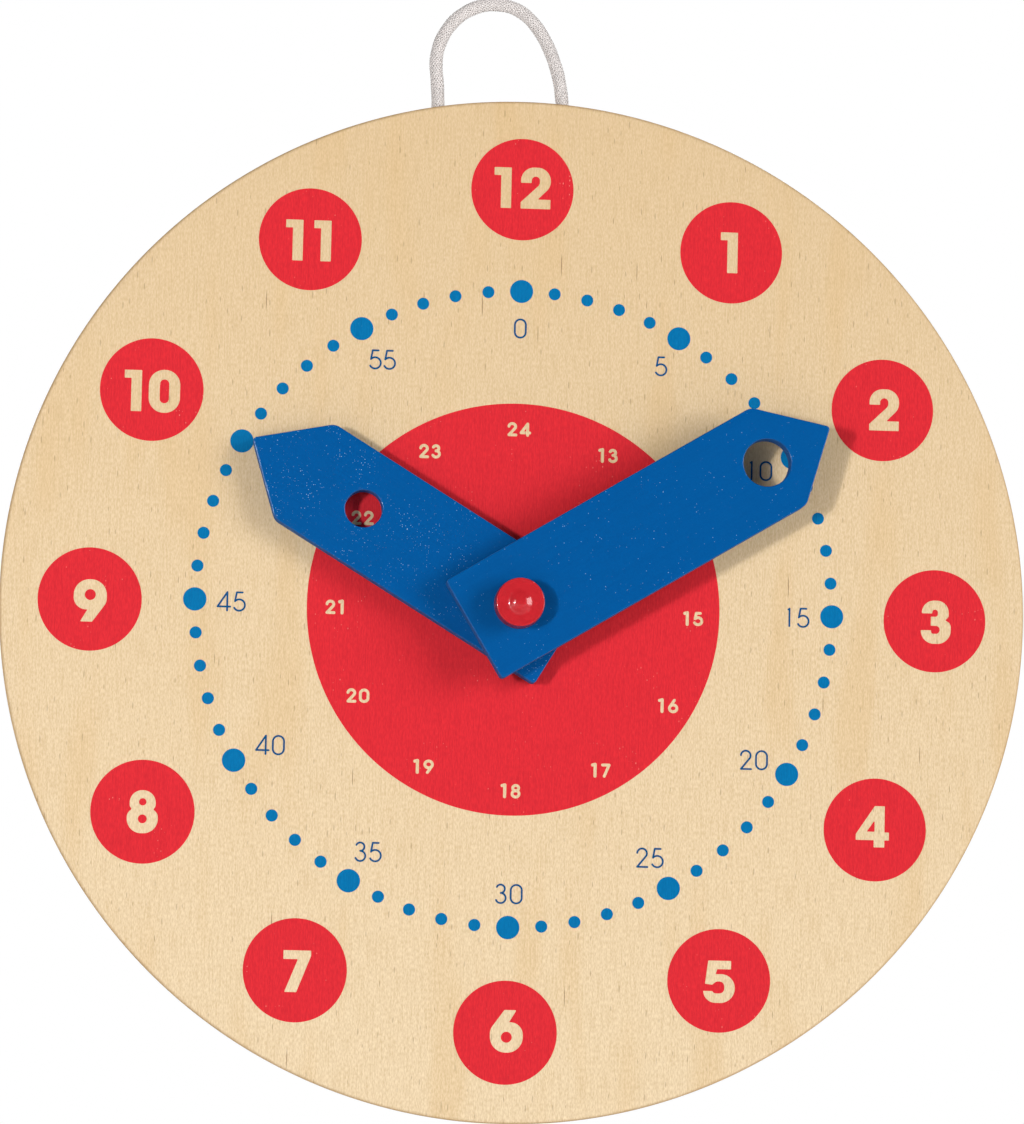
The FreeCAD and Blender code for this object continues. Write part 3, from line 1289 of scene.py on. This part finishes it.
@dataclass(frozen=True)
class Numerals:
    """A style of numbers; gaps is the space after the first figure, by number or figure."""

    scale: float
    gaps: dict[str, float]

    def figure(self, name: str) -> list[Outline]:
        """Return one figure's outlines, at the size it is printed."""
        raise NotImplementedError

    def number(self, text: str, centre: Point) -> list[Outline]:
        """Set a number.

        Args:
            text: The number.
            centre: Where its middle goes.

        Returns:
            All its outlines, in place.
        """
        line: list[Outline] = []
        pen = 0.0
        gap = self.gaps.get(text, self.gaps.get(text[0], 0.0))
        for name in text:
            outlines = self.figure(name)
            left, right, _, _ = spread(outlines)
            line += [[(x - left + pen, z) for x, z in outline] for outline in outlines]
            pen += right - left + gap
        left, right, low, high = spread(line)
        across, up = centre[0] - (left + right) / 2, centre[1] - (low + high) / 2
        return [[(x + across, z + up) for x, z in outline] for outline in line]


@dataclass(frozen=True)
class BoldNumerals(Numerals):
    """Heavy figures, drawn as outlines."""

    def figure(self, name: str) -> list[Outline]:
        """Return one figure's outlines, at the size it is printed."""
        outlines = [rounded(corners) for corners in BOLD_CORNERS[name]]
        return [[(x * self.scale, z * self.scale) for x, z in outline] for outline in outlines]


@dataclass(frozen=True)
class PenNumerals(Numerals):
    """Figures drawn with a round pen, with a 1 of their own."""

    pen: float
    one_pen: float
    one: list[Outline]
    widen: float = 1.0

    def figure(self, name: str) -> list[Outline]:
        """Draw a figure.

        Args:
            name: The figure.

        Returns:
            Its outlines, at the size it is printed.
        """
        strokes, pen = (self.one, self.one_pen) if name == "1" else (ROUND_STROKES[name], self.pen)
        across, up = self.scale * self.widen, self.scale
        drawn = [[(x * across, z * up) for x, z in stroke] for stroke in strokes]
        return united([stroked(stroke, pen) for stroke in drawn])


@dataclass
class DialPrint:
    """The screen print on the dial's face. Millimetres."""

    face: float = 6.0
    ink: float = 0.03
    sunk: float = 0.01
    roundel: float = 22.1
    roundel_sides: int = 96
    roundel_ring: float = 90.6
    hours: BoldNumerals = BoldNumerals(0.984, {"10": 1.49, "11": 2.32, "12": 2.05})
    disc: float = 88.6
    disc_sides: int = 240
    disc_at: Point = (-0.3, -0.1)
    afternoon_ring: float = 38.75
    afternoons_at: Point = (0.0, -0.5)
    afternoons: PenNumerals = PenNumerals(
        scale=0.605, gaps={"1": 0.94, "2": 0.5}, pen=0.62, one_pen=0.68, one=FLAGGED_ONE, widen=1.1,
    )
    minute_ring: float = 60.7
    minutes_at: Point = (0.0, -0.2)
    minutes: PenNumerals = PenNumerals(
        scale=0.97, gaps={"1": 1.5, "2": 0.65, "3": 0.66, "4": 0.48, "5": 0.4},
        pen=0.4, one_pen=0.38, one=ROUND_STROKES["1"],
    )
    dots: int = 60
    large_every: float = 5.0
    dot_ring: float = 68.4
    dots_at: Point = (-0.1, 0.15)
    small_dot: float = 2.6
    large_dot: float = 5.0
    dot_sides: int = 40

    def build(self, red: ScreenInk, dot_blue: ScreenInk, line_blue: ScreenInk) -> None:
        """Print the dial.

        Args:
            red: The ink of the roundels and the centre disc.
            dot_blue: The ink of the dots.
            line_blue: The ink of the minute numbers.
        """
        self.layer("hour_roundels", self.roundels(), red)
        self.layer("centre_disc", self.centre(), red)
        self.layer("minute_numbers", self.round_the_dots(), line_blue)
        self.minute_dots(dot_blue)

    def layer(self, name: str, outlines: list[Outline], ink: ScreenInk) -> None:
        """Print one layer of ink on the face.

        Args:
            name: The layer's name.
            outlines: Its outlines, alternately printed and bare.
            ink: Its ink.
        """
        shell = flat_shell(outlines, Fill.ALTERNATE, self.face - self.sunk, self.face + self.ink)
        finished(name, shell.mesh(name), ink.material(), "dial")

    def roundels(self) -> list[Outline]:
        """Draw the twelve roundels.

        Returns:
            Their outlines and those of their hours, which stay bare.
        """
        outlines = []
        for hour, off in HOURS_OFF.items():
            middle = clock_place(self.roundel_ring, 30 * hour, ROUNDELS_OFF[hour])
            outlines.append(circle(*middle, self.roundel, self.roundel_sides))
            outlines += self.hours.number(str(hour), (middle[0] + off[0], middle[1] + off[1]))
        return outlines

    def centre(self) -> list[Outline]:
        """Draw the centre disc.

        Returns:
            Its outline and those of the afternoon hours, which stay bare.
        """
        outlines = [circle(*self.disc_at, self.disc, self.disc_sides)]
        for hour, off in AFTERNOONS_OFF.items():
            even = clock_place(self.afternoon_ring, 30 * hour, self.afternoons_at)
            outlines += self.afternoons.number(str(hour), (even[0] + off[0], even[1] + off[1]))
        return outlines

    def round_the_dots(self) -> list[Outline]:
        """Draw the minute numbers, which stand inside the ring of dots.

        Returns:
            Their outlines.
        """
        outlines = []
        for minute, off in MINUTES_OFF.items():
            even = clock_place(self.minute_ring, 6 * minute, self.minutes_at)
            outlines += self.minutes.number(str(minute), (even[0] + off[0], even[1] + off[1]))
        return outlines

    def minute_dots(self, ink: ScreenInk) -> None:
        """Print the ring of dots, with large ones among them at even steps.

        Args:
            ink: The dots' ink.
        """
        material = ink.material()
        depth = -self.face - (self.ink - self.sunk) / 2
        ring = Growth("dot_ring", {
            "Count": self.dots,
            "Ring Radius": self.dot_ring * MM,
            "Small Dot": self.small_dot * MM,
            "Large Dot": self.large_dot * MM,
            "Thickness": (self.ink + self.sunk) * MM,
            "Place": Vector((self.dots_at[0], depth, self.dots_at[1])) * MM,
        }, material)
        given, add = ring.given, ring.add
        places = add(
            "GeometryNodeMeshCircle", {"Vertices": given["Count"], "Radius": given["Ring Radius"]}
        )
        dot = add("GeometryNodeMeshCylinder", {
            "Vertices": self.dot_sides, "Radius": 0.5, "Depth": given["Thickness"],
        })
        index = add("GeometryNodeInputIndex")
        within = add(MATH, {0: index, 1: self.large_every}, operation="MODULO")
        between = add(MATH, {0: within, 1: 0.5}, operation="GREATER_THAN")
        size = add("GeometryNodeSwitch", {
            "Switch": between, "False": given["Large Dot"], "True": given["Small Dot"],
        }, input_type="FLOAT")
        scale = add("ShaderNodeCombineXYZ", {"X": size, "Y": size, "Z": 1.0})
        placed = add(
            "GeometryNodeInstanceOnPoints", {"Points": places, "Instance": dot, "Scale": scale}
        )
        stood = add("GeometryNodeTransform", {
            "Geometry": placed, "Translation": given["Place"], "Rotation": (math.pi / 2, 0.0, 0.0),
        })
        mesh = ring.grow(stood, bpy.data.meshes.new("dot_ring"))
        finished("minute_dots", mesh, material, "dial")


# --- Hands and peg


@dataclass
class Hand:
    """A flat pointed hand with a reading window. Millimetres from the pivot axis."""

    name: str
    node: str
    body: str
    start: float
    tip_reach: float
    tip_length: float
    tail_reach: float
    window_setback: float
    window_bore: float
    angle: float
    width: float = 24.0
    thickness: float = 5.0
    edge_round: float = 0.22
    end_round: float = 0.8
    shoulder_round: float = 3.0
    peg_bore: float = 6.12
    window_sides: int = 120

    def outline(self) -> Outline:
        """Draw the plan outline.

        Returns:
            The outline, turned to where the hand points.
        """
        half = self.width / 2
        shoulder = self.tip_reach - self.tip_length
        return turned_outline(rounded([
            (-half, -self.tail_reach, self.end_round),
            (-half, shoulder, self.shoulder_round),
            (0, self.tip_reach, self.end_round),
            (half, shoulder, self.shoulder_round),
            (half, -self.tail_reach, self.end_round),
        ]), self.angle)

    def build(self, finish: SprayedLacquer) -> None:
        """Cut the hand, round its edges and dress it.

        Args:
            finish: Its lacquer.
        """
        window = clock_place(self.tip_reach - self.tip_length - self.window_setback, self.angle)
        rims = [
            (self.outline(), self.edge_round),
            (circle(*window, self.window_bore, self.window_sides), self.edge_round),
            (circle(0, 0, self.peg_bore, BORE_SIDES), BORE_EDGE),
        ]
        mesh = rounded_slab(rims, self.start, self.start + self.thickness).mesh(self.name)
        finished(self.name, mesh, finish.material(), self.body, [self.node])


@dataclass
class Peg:
    """The turned peg that holds the stack together. Millimetres."""

    shank: float = 6.0
    shank_start: float = 0.3
    shank_chamfer: float = 0.4
    head_start: float = 17.4
    head: float = 10.6
    head_chamfer: float = 0.1
    taper: float = 0.15
    head_top: float = 22.85
    shoulder_round: float = 0.25
    shoulder_steps: int = 10
    pip: float = 6.0
    pip_rise: float = 0.75
    pip_steepest_at: float = 2.05
    groove_at: float = 4.3
    groove: float = 0.03
    groove_width: float = 0.5
    top_steps: int = 60
    sides: int = 128
    smooth_below: float = 40.0

    def top(self, radius: float) -> float:
        """Measure the head's top at a radius: a flat, a turned groove and a round pip.

        Args:
            radius: The distance from the axis.

        Returns:
            The height below the pip's crown, as a negative number.
        """
        reach, bend = self.pip / 2, self.pip_steepest_at
        if radius < bend:
            fall = radius ** 2 / (bend * reach)
        else:
            left = max(0.0, reach - radius)
            fall = 1 - left ** 2 / ((reach - bend) * reach)
        off_groove = (radius - self.groove_at) / (self.groove_width / 2)
        return -self.pip_rise * fall - self.groove * math.exp(-off_groove ** 2)

    def profile(self) -> list[Point]:
        """Draw the peg's profile.

        Returns:
            (radius, height) points from the shank's end to the crown.
        """
        shank, head, size = self.shank / 2, self.head / 2, self.shoulder_round
        edge = head - self.taper - size
        edge_at = self.head_top + self.top(edge)
        points = [
            (0, self.shank_start),
            (shank - self.shank_chamfer, self.shank_start),
            (shank, self.shank_start + self.shank_chamfer),
            (shank, self.head_start),
            (head - self.head_chamfer, self.head_start),
            (head, self.head_start + self.head_chamfer),
        ]
        for i in range(self.shoulder_steps):
            turn = math.radians(90 / self.shoulder_steps * i)
            points.append((edge + size * math.cos(turn), edge_at - size + size * math.sin(turn)))
        for i in range(self.top_steps):
            radius = edge * (1 - i / self.top_steps)
            points.append((radius, self.head_top + self.top(radius)))
        return [*points, (0, self.head_top)]

    def build(self, finish: DippedLacquer) -> None:
        """Turn the peg and dress it.

        Args:
            finish: Its lacquer.
        """
        mesh = revolved(self.profile(), self.sides).mesh("turned_peg", self.smooth_below)
        lacquer = finish.material()
        finished("turned_peg", mesh, lacquer, "dial", ["pivot_peg"])


def dress_washers(finish: VulcanisedFibre) -> None:
    """Dress the three washers, which stay as they are in the CAD.

    Args:
        finish: Their finish.
    """
    material = finish.material()
    for node in ("dial_washer", "hand_washer", "head_washer"):
        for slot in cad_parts[node].material_slots:
            slot.material = material
        LOG.info("%s: dressed, stays the CAD node", node)


# --- Studio


@dataclass(frozen=True)
class Softbox:
    """A rectangular lamp that faces the clock, out of the camera's sight. Metres.

    Its level is how bright a white card at the clock, square to the lamp, would be.
    """

    name: str
    at: Triple
    size: Point
    level: float

    def hang(self) -> None:
        """Put the lamp in its place."""
        place = Vector(self.at)
        lamp = bpy.data.lights.new(self.name, "AREA")
        lamp.shape = "RECTANGLE"
        lamp.size, lamp.size_y = self.size
        lamp.energy = self.level * math.pi ** 2 * place.length_squared
        obj = shown(self.name, lamp)
        obj.rotation_euler = (-place).to_track_quat("-Z", "Y").to_euler()
        obj.location = place
        obj.visible_camera = False


@dataclass
class Studio:
    """Camera, soft lamps, white background and pale floor. Metres, degrees and pixels."""

    image: tuple[int, int] = (1024, 1124)
    eye: Triple = (-0.069, -1.0, -0.0904)
    pan: float = 3.865
    tilt: float = 4.306
    roll: float = 1.258
    focal_px: float = 4670.9
    middle_px: Point = (505.0, 680.0)
    sensor: float = 36.0
    clip: Point = (0.05, 20.0)
    floor_at: float = -0.32
    floor_size: float = 3.0
    floor_fade: Point = (0.5, 1.6)
    floor_colour: str = "#F1F1F0"
    ambient: float = 0.06
    behind_camera: float = 0.04
    lamps: tuple[Softbox, ...] = (
        Softbox("left_softbox", (-0.96, -1.5, -0.03), (0.12, 0.2), 0.46),
        Softbox("left_strip", (-0.8, -1.5, 0.1), (0.2, 0.5), 0.09),
        Softbox("right_softbox", (1.95, -1.5, 0.4), (1.1, 1.4), 0.62),
        Softbox("rear_softbox", (0.3, 1.3, 0.9), (0.9, 0.9), 0.5),
    )

    def camera(self) -> None:
        """Set the camera at the photograph's viewing angle."""
        side = max(self.image)
        data = bpy.data.cameras.new("photo_camera")
        data.sensor_width = self.sensor
        data.lens = self.focal_px * self.sensor / side
        data.shift_x = (self.image[0] / 2 - self.middle_px[0]) / side
        data.shift_y = (self.middle_px[1] - self.image[1] / 2) / side
        data.clip_start, data.clip_end = self.clip
        camera = shown("photo_camera", data)
        camera.matrix_world = (
            Matrix.Translation(self.eye)
            @ Matrix.Rotation(math.radians(-self.pan), 4, "Z")
            @ Matrix.Rotation(math.radians(90 + self.tilt), 4, "X")
            @ Matrix.Rotation(math.radians(self.roll), 4, "Z")
        )
        bpy.context.scene.camera = camera

    def world(self) -> None:
        """Light everything a little from all sides, and show white behind it."""
        world = bpy.data.worlds.new("white_studio")
        bpy.context.scene.world = world
        world.use_nodes = True
        add = Graph(world.node_tree).add
        ray = add("ShaderNodeLightPath").outputs
        place = add("ShaderNodeTexCoord")
        heading = add("ShaderNodeSeparateXYZ", {0: place.outputs["Generated"]})
        seen = add(RANGE, {
            "Value": heading.outputs["Y"], "From Min": 0.1, "From Max": 0.6,
            "To Min": self.behind_camera, "To Max": 1.0,
        })
        mirrored = add(
            MATH, {0: ray["Is Glossy Ray"], 1: ray["Is Transmission Ray"]}, operation="MAXIMUM"
        )
        soft = add("ShaderNodeMix", {0: mirrored, 2: self.ambient, 3: seen}, data_type="FLOAT")
        level = add("ShaderNodeMix", {0: ray["Is Camera Ray"], 2: soft, 3: 1.0}, data_type="FLOAT")
        back = add("ShaderNodeBackground", {"Color": (1, 1, 1, 1), "Strength": level})
        add("ShaderNodeOutputWorld", {"Surface": back})

    def floor(self) -> None:
        """Lay a pale floor that fades into the white background and keeps the shadow."""
        half = self.floor_size
        mesh = bpy.data.meshes.new("studio_floor")
        signs = (-1, -1), (1, -1), (1, 1), (-1, 1)
        corners = [(x * half, y * half, self.floor_at) for x, y in signs]
        mesh.from_pydata(corners, [], [(0, 1, 2, 3)])
        paint = Paint("pale_floor")
        away = paint.add(VECTOR_MATH, {0: paint.coordinate("Object")}, operation="LENGTH")
        fade = paint.add(RANGE, {
            "Value": away.outputs["Value"],
            "From Min": self.floor_fade[0], "From Max": self.floor_fade[1],
        }, interpolation_type="SMOOTHSTEP")
        card = paint.add("ShaderNodeBsdfPrincipled", {
            "Base Color": linear(self.floor_colour), "Roughness": 0.8, "Specular IOR Level": 0.1,
        })
        white = paint.add("ShaderNodeEmission", {"Color": (1, 1, 1, 1), "Strength": 1.0})
        ray = paint.add("ShaderNodeLightPath")
        amount = paint.add(MATH, {0: fade, 1: ray.outputs["Is Camera Ray"]}, operation="MULTIPLY")
        both = paint.add("ShaderNodeMixShader", {0: amount, 1: card, 2: white})
        paint.add("ShaderNodeOutputMaterial", {"Surface": both})
        mesh.materials.append(paint.material)
        shown("studio_floor", mesh)

    def build(self) -> None:
        """Set up everything round the clock."""
        bpy.context.scene.view_settings.view_transform = "Standard"
        self.camera()
        self.world()
        self.floor()
        for lamp in self.lamps:
            lamp.hang()
        LOG.info("studio: camera, %d lamps, world and floor", len(self.lamps))


def main() -> None:
    """Build the clock, piece by piece."""
    logging.basicConfig(level=logging.INFO, format="%(name)s: %(message)s")
    Studio().build()
    CordLoop().build(BraidedPolyester())
    Dial().build(BirchPlywood())
    DialPrint().build(
        red=ScreenInk("red_screen_ink", "#E32F38", "#C4212E", "#F3B6A6"),
        dot_blue=ScreenInk("blue_screen_ink_dots", "#0075AF", "#006298", "#2F86B4"),
        line_blue=ScreenInk("blue_screen_ink_numbers", "#0A5288", "#084678", "#7FA6C4"),
    )
    hour = Hand(
        name="hour_hand_board", node="hour_hand", body="hour", start=6.45, tip_reach=66.8,
        tip_length=13.3, tail_reach=12.0, window_setback=14.8, window_bore=8.0, angle=301.1,
    )
    hour.build(SprayedLacquer("blue_lacquer_hour_hand", hour.angle, 0.5))
    minute = Hand(
        name="minute_hand_board", node="minute_hand", body="minute", start=11.95, tip_reach=77.0,
        tip_length=12.9, tail_reach=11.0, window_setback=2.8, window_bore=10.2, angle=58.8,
    )
    minute.build(SprayedLacquer("blue_lacquer_minute_hand", minute.angle, 0.12))
    Peg().build(DippedLacquer())
    dress_washers(VulcanisedFibre())


if __name__ == "__main__":
    main()
